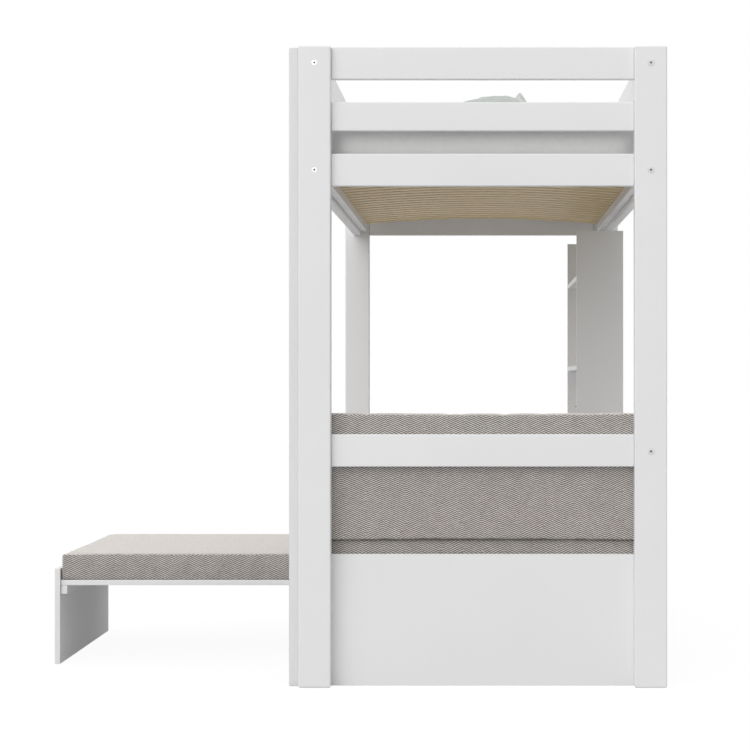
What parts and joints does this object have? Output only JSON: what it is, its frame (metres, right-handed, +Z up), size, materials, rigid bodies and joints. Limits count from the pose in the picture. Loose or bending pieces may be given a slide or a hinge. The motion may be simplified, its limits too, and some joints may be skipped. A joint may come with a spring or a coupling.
{
  "type": "loft bed",
  "caption": "Loft bed with slatted base, guard rails and ladder, over a lounge seat with cushions, a pull-out bench and a bookcase.",
  "frame": {"origin": "on the floor, under the middle of the whole object with the bench pulled out", "axes": "+Y along the bed away from the near end, +X across the bed towards the wall side, +Z up"},
  "size_m": [1.789, 2.09, 1.774],
  "materials": {
    "white_lacquer": "smooth satin white lacquer on solid boards",
    "white_panel": "satin white faced board with a thin edge band",
    "birch": "clear sealed birch layers",
    "grey_herringbone": "grey beige herringbone weave",
    "mattress_ticking": "white cotton ticking",
    "pale_cotton": "pale grey green cotton"
  },
  "bodies": {
    "frame": {"post_near_left": "white_lacquer", "post_near_right": "white_lacquer", "post_far_left": "white_lacquer", "post_far_right": "white_lacquer", "near_end_rail_top": "white_lacquer", "near_end_rail_guard": "white_lacquer", "near_end_rail_bed": "white_lacquer", "near_end_rail_lower": "white_lacquer", "far_end_rail_top": "white_lacquer", "far_end_rail_guard": "white_lacquer", "far_end_rail_bed": "white_lacquer", "far_end_rail_lower": "white_lacquer", "side_rail_left": "white_lacquer", "side_rail_right": "white_lacquer", "guard_rail_back": "white_lacquer", "guard_rail_front": "white_lacquer", "guard_rail_stub": "white_lacquer", "back_rail_lower": "white_lacquer", "slatted_base": "birch", "ladder_stile_near": "white_lacquer", "ladder_stile_far": "white_lacquer", "ladder_rung_1": "white_lacquer", "ladder_rung_2": "white_lacquer", "ladder_rung_3": "white_lacquer", "ladder_rung_4": "white_lacquer", "ladder_rung_5": "white_lacquer", "ladder_block_near_lower": "white_lacquer", "ladder_block_near_upper": "white_lacquer", "ladder_block_far_lower": "white_lacquer", "ladder_block_far_upper": "white_lacquer", "mattress": "mattress_ticking", "pillow": "pale_cotton", "lounge_panel_near": "white_panel", "lounge_panel_far": "white_panel", "divider_near": "white_panel", "divider_far": "white_panel", "seat_board_near": "white_panel", "seat_board_middle": "white_panel", "seat_board_far": "white_panel", "bench_runner_near": "white_panel", "bench_runner_far": "white_panel", "bench_stop_rail": "white_panel", "seat_cushion_near": "grey_herringbone", "seat_cushion_middle": "grey_herringbone", "seat_cushion_far": "grey_herringbone", "back_cushion": "grey_herringbone", "bookcase_panel_near": "white_panel", "bookcase_panel_far": "white_panel", "bookcase_shelf_1": "white_panel", "bookcase_shelf_2": "white_panel", "bookcase_shelf_3": "white_panel", "bookcase_shelf_4": "white_panel"},
    "bench": {"bench_board": "white_panel", "bench_leg_panel": "white_panel", "bench_cleat": "white_panel", "bench_stop_batten": "white_panel", "bench_cushion": "grey_herringbone"}
  },
  "joints": [
    {"name": "bench_slide", "type": "slide", "parent": "frame", "child": "bench", "axis": [1, 0, 0], "range_m": [0, 0.812]}
  ]
}
